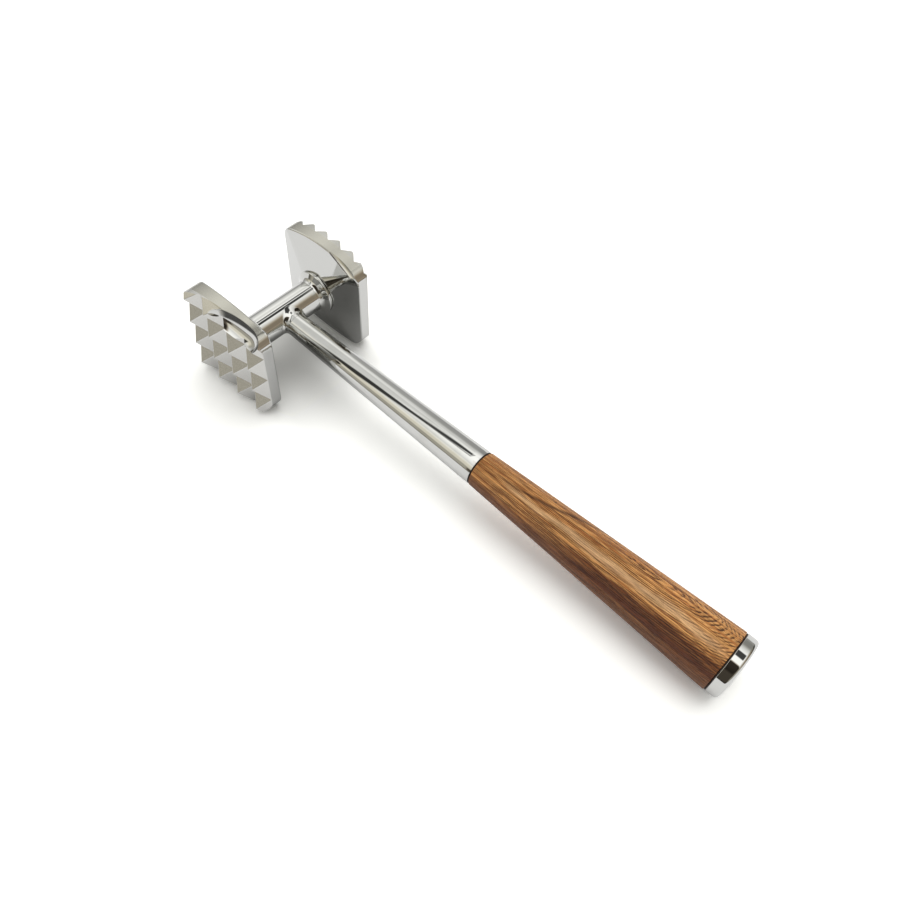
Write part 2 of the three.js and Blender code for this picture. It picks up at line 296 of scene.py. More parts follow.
# Both faces share an outline, a roof-shaped back and a hub that plugs the barrel. The coarse rows end
# in a valley at each edge; the fine rows run out over the crowned top and bottom
facePlate = {"width": 50, "height": 51.6, "crown": 2, "corner": 8, "cornerSteps": 12, "crownSteps": 16,
             "backFlat": 8.6, "backFlatRound": 5.5, "rimRound": 0.6, "beyondTips": 1,
             "hubStart": 20.2, "hub": 10.4, "hubFace": 20.04, "hubStep": 0.05, "hubInPlate": 4,
             "bossStart": 9, "bossRadius": 5.3, "studHole": 3.3, "studCover": 3.2, "holeLead": 2}
coarseTeeth = {"side": -1, "steel": "coarse_face_steel", "satin": linear(208, 207, 203),
               "backRise": 5, "rim": 5.2, "across": 4, "up": 4, "pitchAcross": 13, "pitchUp": 13.7,
               "height": 5.5, "ridgeRound": 0.22, "runOutUp": False}
fineTeeth = {"side": 1, "steel": "fine_face_steel", "satin": linear(184, 183, 177),
             "backRise": 4.7, "rim": 4.9, "across": 6, "up": 7, "pitchAcross": 8.4, "pitchUp": 8.4,
             "height": 3.7, "ridgeRound": 0.18, "runOutUp": True}
coarseScoop = {"radius": 7, "start": -5, "middle": 16, "end": 25, "depth": 2.6, "belowEdge": 2.8}
fineScoop = {"radius": 4, "acrossAt": 12, "beforeRim": 2.4, "aboveEdge": 1.3, "lean": -0.334, "turn": -0.133}


def rimStart(teeth):
    return facePlate["hubStart"] + teeth["backRise"]


def rootPlane(teeth):
    return rimStart(teeth) + teeth["rim"]


def coarseScoopAxis():
    scoop = coarseScoop
    return (scoop["depth"] - scoop["radius"] - rootPlane(coarseTeeth),
            facePlate["height"] / 2 - scoop["belowEdge"])


# In the coarse face's hollow the steel is polished, and the wall under the edge and the end wall get a
# painted dark reflection. This gives what lies outside the hollow, and where that painted reflection lies in
# it
def hollowMasks(nodes, x, y, z):
    look = {"skin": (1.005, 1.03), "wallHeights": (-2.2, -1.5), "endWall": (20.5, 22.5), "start": (-2, 2)}
    scoop = coarseScoop
    scoopY, scoopZ = coarseScoopAxis()
    behind = (scoop["middle"] - x).math("MAXIMUM", 0) / (scoop["middle"] - scoop["start"])
    ahead = (x - scoop["middle"]).math("MAXIMUM", 0) / (scoop["end"] - scoop["middle"])
    across = ((y - scoopY) ** 2 + (z - scoopZ) ** 2) / scoop["radius"] ** 2
    outside = nodes.ramp((behind ** 2 + ahead ** 2 + across) ** 0.5, *look["skin"])
    wall = nodes.ramp(z - scoopZ, *look["wallHeights"]).math("MAXIMUM", nodes.ramp(x, *look["endWall"]))
    return outside, (1 - outside) * wall * nodes.ramp(x, *look["start"])


# Polished back and rim, satin teeth: the change comes at the root of the teeth. The crowned top and
# bottom edges are duller than the rest of the rim
def toothedSteelMaterial(teeth):
    look = {"polished": linear(208, 208, 205), "edge": linear(184, 182, 172), "paintedReflectionColor": linear(62, 62, 58),
            "polishedRoughness": 0.04, "smearRoughness": 0.02, "satinRoughness": 0.16,
            "blastRoughness": 0.08, "edgeRoughness": 0.16, "paintedReflectionRoughness": 0.5, "satinFade": 0.8,
            "edgeHeights": (20.5, 23), "edgePastRoot": 0.4, "edgeFade": 0.3}
    material, nodes = newMaterial(teeth["steel"])
    point = nodes.toolPoint()
    x, y, z = nodes.split(point)
    along = y * teeth["side"]
    root = rootPlane(teeth)
    satin = nodes.ramp(along, root - look["satinFade"], root + look["satinFade"])
    # In the coarse face's hollow the walls get a painted dark reflection: dark, dull and not metal
    paintedDarkReflection = 0
    if teeth is coarseTeeth:
        outsideHollow, paintedDarkReflection = hollowMasks(nodes, x, y, z)
        satin = satin * outsideHollow
    edge = nodes.band(along, root - teeth["rim"], root + look["edgePastRoot"], look["edgeFade"])
    edge = edge * nodes.ramp(z.math("ABSOLUTE"), *look["edgeHeights"])
    smear = nodes.ramp(nodes.noise(point, scale=0.12, detail=4, roughness=0.6), 0.4, 0.8)
    blast = nodes.noise(point, scale=9, detail=2, roughness=0.7)
    roughness = look["polishedRoughness"] + look["smearRoughness"] * smear
    roughness = roughness + satin * (look["satinRoughness"] - roughness + look["blastRoughness"] * blast)
    roughness = roughness + look["edgeRoughness"] * edge * (1 - satin) + paintedDarkReflection * look["paintedReflectionRoughness"]
    color = nodes.mix(satin, look["polished"], teeth["satin"])
    color = nodes.mix(edge, color, look["edge"])
    # The painted dark reflection on the hollow's walls
    color = nodes.mix(paintedDarkReflection, color, look["paintedReflectionColor"])
    nodes.surface({
        "Base Color": color,
        "Metallic": 1 - paintedDarkReflection,
        "Roughness": roughness,
        "Normal": nodes.bump(blast * satin, strength=0.04, distance=0.0002)})
    return material


# The plate without its teeth: straight rim, and a back whose creases widen towards the round hub.
# That is the hull of a block and of a square with round corners
def plateBlank(teeth):
    plate = facePlate
    slack = 0.01
    thick = teeth["rim"] + teeth["height"] + plate["beyondTips"]
    mesh = bmesh.new()
    square = bmesh.ops.create_grid(mesh, x_segments=1, y_segments=1, size=plate["backFlat"])["verts"]
    bmesh.ops.bevel(mesh, geom=square, offset=plate["backFlatRound"], segments=12, profile=0.5,
                    affect="VERTICES", material=-1)
    bmesh.ops.rotate(mesh, matrix=Matrix.Rotation(math.pi / 2, 3, "X"), verts=mesh.verts)
    bmesh.ops.translate(mesh, vec=(0, plate["hubStart"] + plate["hubStep"], 0), verts=mesh.verts)
    block = bmesh.ops.create_cube(mesh, size=1)["verts"]
    bmesh.ops.scale(mesh, vec=(plate["width"], thick, plate["height"]), verts=block)
    bmesh.ops.translate(mesh, vec=(0, rimStart(teeth) + thick / 2, 0), verts=block)
    bmesh.ops.delete(mesh, geom=mesh.faces[:], context="FACES_ONLY")
    bmesh.ops.delete(mesh, geom=mesh.edges[:], context="EDGES_FACES")
    bmesh.ops.convex_hull(mesh, input=mesh.verts[:])
    bmesh.ops.dissolve_limit(mesh, angle_limit=math.radians(0.2), verts=mesh.verts[:], edges=mesh.edges[:])
    bmesh.ops.recalc_face_normals(mesh, faces=mesh.faces)
    trimToOutline(mesh)
    sides = {face for face in mesh.faces if abs(face.normal.y) < slack}
    backRim = [edge for edge in mesh.edges if len(set(edge.link_faces) & sides) == 1
               and sum(corner.co.y for corner in edge.verts) / 2 < rimStart(teeth) + slack]
    bmesh.ops.bevel(mesh, geom=backRim, offset=plate["rimRound"], segments=4, profile=0.5,
                    affect="EDGES", material=-1)
    bmesh.ops.recalc_face_normals(mesh, faces=mesh.faces)
    return mesh


# Straight flanks, and crowned edges that run into round corners: one flat cut for each small step
def trimToOutline(mesh):
    plate = facePlate
    inner = plate["width"] / 2 - plate["corner"]
    crownRadius = (inner ** 2 + plate["crown"] ** 2) / (2 * plate["crown"])
    crownCentre = plate["height"] / 2 - crownRadius
    shoulder = crownCentre + math.sqrt((crownRadius - plate["corner"]) ** 2 - inner ** 2)
    sweep = math.atan2(shoulder - crownCentre, inner)
    cuts = []
    for step in range(plate["cornerSteps"] + 1):
        angle = sweep * step / plate["cornerSteps"]
        normal = Vector((math.cos(angle), 0, math.sin(angle)))
        cuts.append((Vector((inner, 0, shoulder)) + normal * plate["corner"], normal))
    for step in range(1, plate["crownSteps"] + 1):
        angle = sweep + (math.pi / 2 - sweep) * step / plate["crownSteps"]
        normal = Vector((math.cos(angle), 0, math.sin(angle)))
        cuts.append((Vector((0, 0, crownCentre)) + normal * crownRadius, normal))
    for point, normal in cuts:
        for sideX in (1, -1):
            for sideZ in (1, -1):
                flip = Vector((sideX, 1, sideZ))
                cutAway(mesh, point * flip, normal * flip)


# Cuts off what lies beyond a plane and closes the cut
def cutAway(mesh, point, normal):
    cut = bmesh.ops.bisect_plane(mesh, geom=mesh.verts[:] + mesh.edges[:] + mesh.faces[:], dist=0.0001,
                                 plane_co=point, plane_no=normal, clear_outer=True)["geom_cut"]
    rim = [part for part in cut if isinstance(part, bmesh.types.BMEdge) and part.is_boundary]
    if rim:
        bmesh.ops.contextual_create(mesh, geom=rim)


# A block whose front is the field of pyramids, with a border round it that clears the plate
def toothBlock(teeth, depth=30, border=3):
    slack = 0.1
    mesh = bmesh.new()
    bmesh.ops.create_grid(mesh, x_segments=teeth["across"], y_segments=teeth["up"], size=0.5)
    reach = Vector((teeth["pitchAcross"] * teeth["across"] / 2, teeth["pitchUp"] * teeth["up"] / 2))
    bmesh.ops.scale(mesh, vec=(2 * reach.x, 2 * reach.y, 1), verts=mesh.verts)
    tips = bmesh.ops.poke(mesh, faces=mesh.faces[:])["verts"]
    bmesh.ops.translate(mesh, verts=tips, vec=(0, 0, teeth["height"]))

    # The outermost valleys go to the plate's edges
    half = Vector((facePlate["width"] / 2, facePlate["height"] / 2))
    for corner in mesh.verts:
        if abs(corner.co.x) > reach.x - slack:
            corner.co.x = math.copysign(half.x, corner.co.x)
        if abs(corner.co.y) > reach.y - slack and not teeth["runOutUp"]:
            corner.co.y = math.copysign(half.y, corner.co.y)
    ridges = [edge for edge in mesh.edges if not edge.is_boundary]
    bmesh.ops.bevel(mesh, geom=ridges, offset=teeth["ridgeRound"], segments=2, profile=0.5,
                    affect="EDGES", material=-1, clamp_overlap=True)

    # The border, and then the block behind it
    rim = [edge for edge in mesh.edges if edge.is_boundary]
    grown = bmesh.ops.extrude_edge_only(mesh, edges=rim)["geom"]
    corners = [part for part in grown if isinstance(part, bmesh.types.BMVert)]
    bmesh.ops.scale(mesh, verts=corners, vec=(1 + border / half.x, 1 + border / half.y, 1))
    rim = [part for part in grown if isinstance(part, bmesh.types.BMEdge) and part.is_boundary]
    grown = bmesh.ops.extrude_edge_only(mesh, edges=rim)["geom"]
    corners = [part for part in grown if isinstance(part, bmesh.types.BMVert)]
    bmesh.ops.translate(mesh, verts=corners, vec=(0, 0, -depth))
    bmesh.ops.contextual_create(mesh, geom=[edge for edge in mesh.edges if edge.is_boundary])
    bmesh.ops.rotate(mesh, matrix=Matrix.Rotation(-math.pi / 2, 3, "X"), verts=mesh.verts)
    bmesh.ops.translate(mesh, vec=(0, rootPlane(teeth), 0), verts=mesh.verts)
    bmesh.ops.recalc_face_normals(mesh, faces=mesh.faces)
    return mesh


# The hub on the plate's back, with the boss that goes into the barrel
def hubMesh():
    plate = facePlate
    inPlate = plate["hubStart"] + plate["hubInPlate"]
    points = [(plate["bossStart"], 0), (plate["bossStart"], plate["bossRadius"]),
              (plate["hubFace"], plate["bossRadius"]), (plate["hubFace"], plate["hub"]),
              (inPlate, plate["hub"]), (inPlate, 0)]
    return turned(points, {}, "Y")


# Spindle-shaped hollow under the top edge of the coarse front: long towards the middle of the face,
# short towards its corner
def coarseScoopMesh(steps=48):
    scoop = coarseScoop
    points = []
    for step in range(steps + 1):
        angle = math.pi * step / steps
        length = scoop["middle"] - scoop["start"] if step < steps / 2 else scoop["end"] - scoop["middle"]
        points.append((scoop["middle"] - length * math.cos(angle), scoop["radius"] * math.sin(angle)))
    mesh = turned(points, {}, "X", sides=192)
    bmesh.ops.translate(mesh, verts=mesh.verts, vec=(0, *coarseScoopAxis()))
    return mesh


# Slanting groove that grazes the top edge of the fine face's back and leaves at its corner
def fineScoopMesh():
    scoop = fineScoop
    mesh = rod(-facePlate["width"], facePlate["width"], scoop["radius"], "X", sides=128)
    slant = Matrix.Rotation(-scoop["lean"], 3, "Y") @ Matrix.Rotation(scoop["turn"], 3, "Z")
    bmesh.ops.rotate(mesh, verts=mesh.verts, cent=(0, 0, 0), matrix=slant)
    bmesh.ops.translate(mesh, verts=mesh.verts, vec=(
        scoop["acrossAt"], rimStart(fineTeeth) - scoop["beforeRim"],
        facePlate["height"] / 2 + scoop["aboveEdge"]))
    return mesh


def facePiece(nodeName, teeth, scoopMesh):
    plate = facePlate
    shape = shapeFrom(plateBlank(teeth), nodeName + "_dressed")
    combine(shape, toothBlock(teeth), "INTERSECT")
    combine(shape, hubMesh(), "UNION")
    studHole = rod(plate["bossStart"] - plate["holeLead"], rootPlane(teeth) - plate["studCover"],
                   plate["studHole"], "Y", sides=48)
    combine(shape, studHole, "DIFFERENCE")
    if teeth["side"] < 0:
        shape.data.transform(Matrix.Rotation(math.pi, 4, "Z"))
    combine(shape, scoopMesh, "DIFFERENCE")
    finishPiece(shape, toothedSteelMaterial(teeth), nodeName)


# Crossbar barrel with a flared collar at each end: a tight cove, a straight cone and a crisp rim
crossbar = {"radius": 7.6, "bore": 5.6, "halfLength": 15.8, "neckHole": 4.7, "holeLead": 2,
            "endRound": 0.04, "collarStart": 15.82, "collarEnd": 20, "coneFoot": 17.3, "coneTop": 19.25,
            "rimRadius": 10.95, "cove": 1.4, "rimRound": 0.3}


def barrelPiece(material):
    bar = crossbar
    mesh = tube(-bar["halfLength"], bar["halfLength"], bar["bore"], bar["radius"], bar["endRound"],
                "Y", sides=160)
    shape = shapeFrom(mesh, "crossbar_barrel_dressed")
    neckHole = rod(0, bar["radius"] + bar["holeLead"], bar["neckHole"], "X", sides=64)
    combine(shape, neckHole, "DIFFERENCE")
    finishPiece(shape, material, "crossbar_barrel")


def collarPiece(nodeName, side, material):
    bar = crossbar
    points = [(bar["collarStart"], bar["bore"]), (bar["collarStart"], bar["radius"]),
              (bar["coneFoot"], bar["radius"]), (bar["coneTop"], bar["rimRadius"]),
              (bar["collarEnd"], bar["rimRadius"]), (bar["collarEnd"], bar["bore"]),
              (bar["collarStart"], bar["bore"])]
    rounds = {2: bar["cove"], 3: bar["rimRound"], 4: bar["rimRound"]}
    mesh = turned(points, rounds, "Y", sides=160, roundSteps=12)
    if side < 0:
        bmesh.ops.rotate(mesh, verts=mesh.verts, cent=(0, 0, 0), matrix=Matrix.Rotation(math.pi, 3, "Z"))
    finishPiece(shapeFrom(mesh, nodeName + "_dressed"), material, nodeName)


# Shaft from its saddle on the barrel to the wood, with the coved ring round its root
shaft = {"rootRadius": 5.35, "endRadius": 7.9, "end": 120, "reach": 0.2, "endTurnIn": 0.15,
         "turnInLength": 2.6, "endRound": 1.1, "neck": 4.4, "neckStart": -2, "neckInShaft": 6,
         "boreStart": 97.7, "bore": 3.3, "eye": 3.3, "eyeReach": 8, "gap": 0.3, "joint": 0.02,
         "ringRadius": 7, "ringLip": 0.05, "ringRise": 2, "coveShare": 0.99}


def shaftRadiusAt(place):
    slope = (shaft["endRadius"] - shaft["rootRadius"]) / (shaft["end"] - crossbar["radius"])
    return shaft["rootRadius"] + slope * (place - crossbar["radius"])


def saddleTool(radius):
    return rod(-crossbar["halfLength"], crossbar["halfLength"], radius, "Y", sides=160)


def shaftPiece(material):
    end = shaft["end"] + shaft["reach"]
    turnIn = end - shaft["turnInLength"]
    body = turned([(0, 0), (0, shaftRadiusAt(0)), (turnIn, shaftRadiusAt(turnIn)),
                   (end, shaft["endRadius"] - shaft["endTurnIn"]), (end, shaft["bore"]),
                   (shaft["boreStart"], shaft["bore"]), (shaft["boreStart"], 0)],
                  {2: shaft["endRound"]}, "X", sides=192)
    shape = shapeFrom(body, "tapered_shaft_dressed")
    combine(shape, saddleTool(crossbar["radius"] + shaft["gap"]), "DIFFERENCE")
    neckEnd = crossbar["radius"] + shaft["neckInShaft"]
    combine(shape, rod(shaft["neckStart"], neckEnd, shaft["neck"], "X", sides=64), "UNION")
    combine(shape, rod(-shaft["eyeReach"], shaft["eyeReach"], shaft["eye"], "Y", sides=48), "DIFFERENCE")
    finishPiece(shape, material, "tapered_shaft")


# The foot of the ring's cove drops with the barrel's roundness
def rootRingPiece(material):
    seat = crossbar["radius"] + shaft["joint"]
    foot = seat + shaft["ringLip"]
    top = crossbar["radius"] + shaft["ringRise"]
    inner = shaftRadiusAt(top) + shaft["joint"]
    cove = inner + shaft["ringLip"]
    points = [(crossbar["bore"], inner), (crossbar["bore"], shaft["ringRadius"]),
              (foot, shaft["ringRadius"]), (foot, cove), (top, cove), (top, inner), (crossbar["bore"], inner)]
    rounds = {3: (shaft["ringRadius"] - cove) * shaft["coveShare"]}
    mesh = turned(points, rounds, "X", sides=160, roundSteps=16)
    for corner in mesh.verts:
        drop = foot - math.sqrt(foot ** 2 - corner.co.z ** 2)
        corner.co.x -= drop * min(1, (top - corner.co.x) / (top - foot))
    shape = shapeFrom(mesh, "shaft_root_ring_dressed")
    combine(shape, saddleTool(seat), "DIFFERENCE")
    finishPiece(shape, material, "shaft_root_ring")


# Grip, the two dark seams and the end cap
handle = {"gripStart": 121, "gripEnd": 238, "startRadius": 7.9, "endRadius": 13, "edgeRound": 0.4,
          "bore": 3.3, "pocketRadius": 7.5, "pocketDepth": 14, "reach": 0.15,
          "seamInset": 0.3, "seamThickness": 0.4, "seamRound": 0.1, "gap": 0.3}
endCap = {"start": 239, "reach": 0.28, "side": 3.1, "radius": 12.9, "startRadius": 13, "edgeRound": 0.2,
          "rimRound": 1.6, "dome": 0.5, "domeRound": 1.2, "flat": 8, "boss": 5, "bossStart": 233.4,
          "rodHole": 3.3, "rodEnd": 241.5}


# Grain that fans out with the taper. A figure of nested arcs closes towards the cap on the upper side,
# crossed nearer the shaft by a dark streak. Below it run a painted highlight and a dark brown band, which is
# partly a growth band in the wood and partly painted shade; the lower side under it is darkened with painted
# shade.
# Sides are in degrees round the grip from its top, and places along it go from 0 at the shaft to 1
def woodMaterial():
    look = {"light": linear(228, 166, 98), "mid": linear(172, 108, 54), "brown": linear(104, 54, 24),
            "dark": linear(52, 24, 10), "pale": linear(246, 206, 156),
            "patternLength": 3, "slowWaver": 30, "fineWaver": 9,
            "figureSide": 22, "figureWidth": 60, "figureStart": 0.52, "figureClosing": 14,
            "figureSlow": 0.24, "figureFine": 0.16, "lines": 17,
            "streakRise": 70, "streakCurl": 600, "streakSide": -20, "streakWidth": 4,
            "streakPlaces": (0.08, 0.55, 0.06), "paintedHighlightSides": (-27, -13, 6),
            "paintedHighlightPlaces": (0.14, 0.97, 0.06), "bandSide": -53, "bandWidth": 14, "bandSoft": 5,
            "bandStart": (0.15, 0.6), "paintedLowerShadeSides": (-75, -52),
            "bandLevel": 0.85, "paintedLowerShadeLevel": 0.8, "paintedHighlightLevel": 0.55, "lineLevel": 0.92,
            "streakLevel": 0.85, "poreLevel": 0.55, "roughness": 0.4, "poreRoughness": 0.15}
    material, nodes = newMaterial("oiled_wood")
    x, y, z = nodes.split(nodes.toolPoint())
    along = (x - handle["gripStart"]) / (handle["gripEnd"] - handle["gripStart"])
    radius = handle["startRadius"] + (handle["endRadius"] - handle["startRadius"]) * along
    side = y / radius
    high = z / radius
    surface = nodes.join(along * look["patternLength"], side, high)

    # Fine fibres and pores, drawn out along the grip
    fibres = nodes.noise(nodes.stretch(surface, (1.1, 9, 9)), scale=1.5, detail=4, roughness=0.65)
    pores = nodes.noise(nodes.stretch(surface, (2, 24, 24)), scale=1.4, detail=3, roughness=0.7)
    pores = nodes.ramp(pores, 0.48, 0.58)

    # The angle round the grip, with the grain's waver in it
    slow = nodes.noise(surface, scale=1.1, detail=2) - 0.5
    wavy = nodes.noise(nodes.stretch(surface, (2.2, 1.6, 1.6)), scale=2, detail=3, roughness=0.55) - 0.5
    azimuth = side.math("ARCTAN2", high) * (180 / math.pi)
    azimuth = azimuth + look["slowWaver"] * slow + look["fineWaver"] * wavy

    # Broken dark lines on nested arcs
    across = (azimuth - look["figureSide"]) / look["figureWidth"]
    closing = (along - look["figureStart"]).math("MAXIMUM", 0)
    figure = (across * across + look["figureClosing"] * closing ** 4) ** 0.5
    figure = figure + look["figureSlow"] * slow + look["figureFine"] * wavy
    line = nodes.hill((figure * look["lines"]).math("FRACT"), 0.3, 0.75, 0.85, 1.0)
    breaks = nodes.noise(nodes.stretch(surface, (1.6, 6, 6)), scale=1.5, detail=3, roughness=0.6)
    line = line * nodes.ramp(breaks, 0.38, 0.58)

    # The streak, the painted highlight, the brown band, partly painted shade, and the painted shade on the
    # lower side under it
    streakAt = look["streakRise"] * along + look["streakCurl"] * along ** 4 + look["streakSide"]
    streak = nodes.band(azimuth - streakAt, -look["streakWidth"], look["streakWidth"], look["streakWidth"])
    streak = streak * nodes.band(along, *look["streakPlaces"]) * (1 - 0.45 * nodes.ramp(fibres, 0.44, 0.6))
    # A painted highlight: a pale band along the grip
    paintedHighlight = nodes.band(azimuth, *look["paintedHighlightSides"]) * nodes.band(along, *look["paintedHighlightPlaces"])
    # The brown band is partly a growth band in the wood and partly painted shade
    fromBand = azimuth - look["bandSide"]
    bandAndPaintedShade = nodes.band(fromBand, -look["bandWidth"], look["bandWidth"], look["bandSoft"])
    bandAndPaintedShade = bandAndPaintedShade * nodes.ramp(along, *look["bandStart"])
    # Painted shade: the lower side of the grip is darkened towards brown
    paintedLowerShade = 1 - nodes.ramp(azimuth, *look["paintedLowerShadeSides"])

    # Lines and pores are weaker in the painted highlight, and pores are stronger in the band
    color = nodes.mix(nodes.ramp(fibres, 0.38, 0.6), look["mid"], look["light"])
    color = nodes.mix(look["bandLevel"] * bandAndPaintedShade + look["paintedLowerShadeLevel"] * paintedLowerShade, color, look["brown"])
    color = nodes.mix(look["paintedHighlightLevel"] * paintedHighlight, color, look["pale"])
    color = nodes.mix(line * (look["lineLevel"] - 0.4 * paintedHighlight), color, look["dark"])
    color = nodes.mix(look["streakLevel"] * streak, color, look["dark"])
    color = nodes.mix(pores * (look["poreLevel"] + 0.25 * bandAndPaintedShade - 0.2 * paintedHighlight), color, look["dark"])
    nodes.surface({
        "Base Color": color,
        "Specular IOR Level": 0.3,
        "Roughness": look["roughness"] + look["poreRoughness"] * pores,
        "Normal": nodes.bump(0.4 * fibres - 0.6 * line - pores, strength=0.55, distance=0.0003)})
    return material


def gripPiece():
    floor = handle["gripEnd"] - handle["pocketDepth"]
    start, end = handle["gripStart"] - handle["reach"], handle["gripEnd"] + handle["reach"]
    points = [(start, handle["bore"]), (start, handle["startRadius"]),
              (end, handle["endRadius"]), (end, handle["pocketRadius"]),
              (floor, handle["pocketRadius"]), (floor, handle["bore"]), (start, handle["bore"])]
    rounds = {1: handle["edgeRound"], 2: handle["edgeRound"]}
    mesh = turned(points, rounds, "X", sides=192, roundSteps=4)
    finishPiece(shapeFrom(mesh, "wood_grip_dressed"), woodMaterial(), "wood_grip")


def seamPiece(nodeName, start, inner, outer, material):
    first = start + handle["gap"]
    mesh = tube(first, first + handle["seamThickness"], inner, outer - handle["seamInset"],
                handle["seamRound"], "X", sides=128, roundSteps=2)
    finishPiece(shapeFrom(mesh, nodeName + "_dressed"), material, nodeName)


def capPiece(material):
    cap = endCap
    start = cap["start"] - cap["reach"]
    sideEnd = cap["start"] + cap["side"] + cap["rimRound"]
    points = [(cap["rodEnd"], 0), (cap["rodEnd"], cap["rodHole"]), (cap["bossStart"], cap["rodHole"]),
              (cap["bossStart"], cap["boss"]), (start, cap["boss"]), (start, cap["startRadius"]),
              (sideEnd, cap["radius"]), (sideEnd, cap["radius"] - cap["rimRound"]),
              (sideEnd + cap["dome"], cap["flat"]), (sideEnd + cap["dome"], 0)]
    rounds = {5: cap["edgeRound"], 6: cap["rimRound"], 8: cap["domeRound"]}
    mesh = turned(points, rounds, "X", sides=192, roundSteps=8)
    finishPiece(shapeFrom(mesh, "end_cap_dressed"), material, "end_cap")


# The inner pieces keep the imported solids' meshes and get the machined steel's look
def dressInside(material):
    for name in ("crossbar_tie_stud", "coarse_side_spacer_sleeve", "fine_side_spacer_sleeve", "tang_rod",
                 "grip_flat_washer", "grip_spring_washer", "grip_nut"):
        node = frame["nodes"][name]
        node.data.materials.clear()
        node.data.materials.append(material)


# A pale floor that goes on past every view. It is whiter to the camera, so that it reads as pure white,
# and darker under the head, above all to mirrors
def addFloor():
    look = {"size": 8, "sink": 0.00005, "color": (0.97, 0.97, 0.97, 1), "seen": (1.31, 1.31, 1.27, 1),
            "underHead": {"across": (-30, 28, 6), "along": (-30, -12, 5, 62)},
            "shaded": (0.3, 0.3, 0.28, 1), "shade": 0.55,
            "mirrored": (0.03, 0.03, 0.025, 1), "mirroredShade": 0.52}
    mesh = bmesh.new()
    bmesh.ops.create_grid(mesh, x_segments=1, y_segments=1, size=look["size"] / 2)
    floor = shapeFrom(mesh, "floor")
    material, nodes = newMaterial("white_floor")
    x, y, z = nodes.split(nodes.toolPoint())
    underHead = nodes.band(y, *look["underHead"]["across"]) * nodes.hill(x, *look["underHead"]["along"])
    toCamera = nodes.add("ShaderNodeLightPath", output="Is Camera Ray")
    toMirrors = nodes.add("ShaderNodeLightPath", output="Is Glossy Ray")
    color = nodes.mix(toCamera, look["color"], look["seen"])
    color = nodes.mix(underHead * look["shade"], color, look["shaded"])
    color = nodes.mix(toMirrors * underHead * look["mirroredShade"], color, look["mirrored"])
    shader = nodes.add("ShaderNodeBsdfDiffuse", {}, {"Color": color})
    nodes.add("ShaderNodeOutputMaterial", {}, {"Surface": shader})
    floor.data.materials.append(material)
    floor.location.z = -look["sink"]


# Soft daylight from above and behind; metal sees the studio below instead of the lamp's disc
def addLight():
    key = {"azimuth": 95, "elevation": 70, "width": 60, "strength": 1.4}
    lamp = bpy.data.objects.new("soft_key", bpy.data.lights.new("soft_key", "SUN"))
    bpy.context.scene.collection.objects.link(lamp)
    lamp.data.energy = key["strength"]
    lamp.data.angle = math.radians(key["width"])
    lamp.visible_glossy = False
    lamp.rotation_euler = (math.radians(90 - key["elevation"]), 0, math.radians(90 + key["azimuth"]))


# What the polished steel reflects: a pale room that brightens upwards, with tan walls, dark at their
# foot, all round but to the north-west, a window frame overhead and a dark doorway behind the camera.
# The north-east corner is dim. East is +X and north is +Y.
# A part of the walls lies towards a compass direction, between two cosines of the angle to it, and has
# the heights at which it starts, is full, fades and ends. Below -1 and above 1 there is no sky, so
# heights out there mean that a part has no lower or no upper end
studio = {
    "wall": (1, 1, 0.98, 1), "tan": (1, 0.95, 0.8, 1), "brown": (1, 0.83, 0.62, 1),
    "wallLevel": 0.5, "brightUpwards": (0.5, 1), "plainLevel": 0.61,
    "tanWalls": {"towards": (0.75, -0.66), "cosines": (-0.75, -0.3), "heights": (-2, -1, 0.5, 0.8)},
    "brownWall": {"towards": (0.88, 0.47), "cosines": (0.75, 0.97), "heights": (-2, -1, 2, 3)},
    "bright": [{"towards": (-0.95, 0.3), "cosines": (0.75, 0.95), "heights": (0.2, 0.6, 0.66, 0.85),
                "strength": 0.55},
               {"towards": (-0.5, -0.87), "cosines": (0.8, 0.95), "heights": (0.31, 0.41, 0.65, 0.75),
                "strength": 0.45}],
    "dim": [{"towards": (0.5, 0.87), "cosines": (0.5, 0.8), "heights": (0, 0.24, 0.48, 0.72),
             "strength": 0.35},
            {"towards": (0.5, 0.87), "cosines": (0.92, 0.97), "heights": (-2, -1, 0.22, 0.34),
             "strength": 0.85}],
    "foot": (0.03, 0.08), "footDark": 0.65}

# u and v are a flat map of the sky, 0 straight above and 1 away at the horizon, u to the east and
# v to the north. A width or a length is from, to and softness
windowFrame = {"at": -0.1985, "lean": 0.194, "bend": 0.33, "shift": 0.022, "shiftOver": (-0.15, -0.04),
               "side": (-0.022, 0.03, 0.01), "sideLength": (-0.43, 0.13, 0.03), "dark": 0.95,
               "gleam": (0.01, 0.02, 0.004), "gleamOver": (-0.12, -0.02), "gleamLevel": 0.7,
               "westBar": (-0.1, -0.018, 0.012), "westLength": (0.12, 0.24, 0.02), "westDark": 0.92,
               "eastBar": (0.018, 0.15, 0.014), "eastLength": (0.05, 0.24, 0.02),
               "outside": (-0.05, -0.01), "outsideHeights": (0.7, 0.85), "outsideDark": 0.36,
               "outsideGap": (0.19, 0.26, 0.02), "outsideGapDark": 0.22}
doorway = {"width": (-0.09, 0.6, 0.03), "length": (-1.2, -0.13, 0.03), "spread": 0.15,
           "spreadBelow": (0.2, 0.4), "dark": 0.86, "darkerUp": 0.11, "darkerHeights": (0.55, 0.7)}


